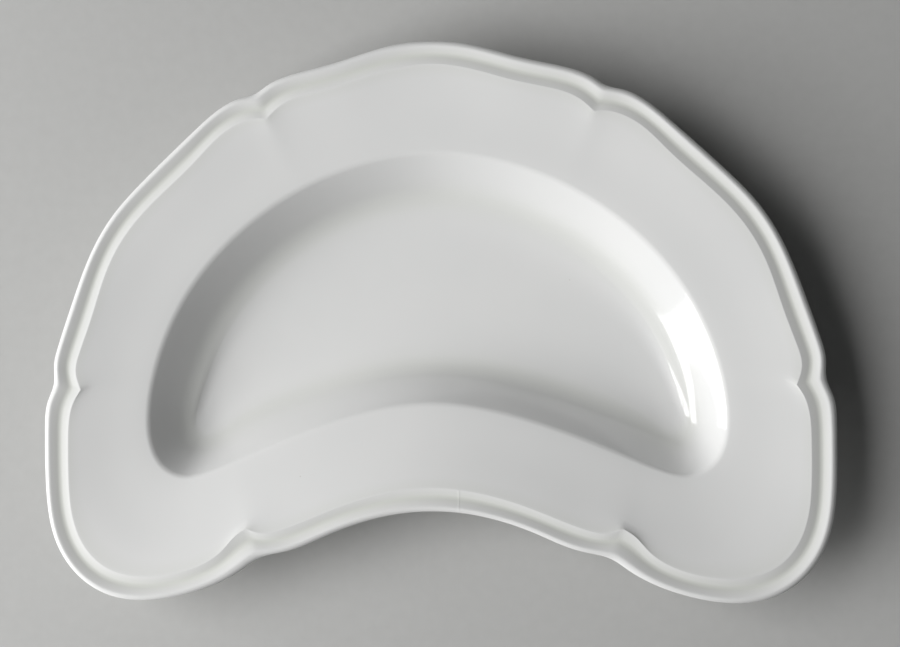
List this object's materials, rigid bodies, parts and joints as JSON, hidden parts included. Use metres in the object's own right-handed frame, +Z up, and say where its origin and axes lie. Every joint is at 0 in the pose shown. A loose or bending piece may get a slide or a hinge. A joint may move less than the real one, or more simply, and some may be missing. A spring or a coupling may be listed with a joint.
{
  "type": "crescent salad plate",
  "caption": "Crescent side plate in white glazed porcelain, with a scalloped moulded rim, a sunken well for salad and a foot ring.",
  "frame": {"origin": "on the table, under the middle of the plate's outline", "axes": "+X along the plate from tip to tip, +Y towards the convex back, +Z up"},
  "size_m": [0.21, 0.148, 0.022],
  "materials": {
    "glazed_porcelain": "clear gloss glaze over white porcelain",
    "bare_porcelain": "ground and unglazed, matt"
  },
  "bodies": {
    "root": {"moulded_edge": "glazed_porcelain", "flat_rim": "glazed_porcelain", "well_wall": "glazed_porcelain", "well_floor": "glazed_porcelain", "foot_ring": "glazed_porcelain", "foot_edge": "bare_porcelain"}
  },
  "joints": []
}
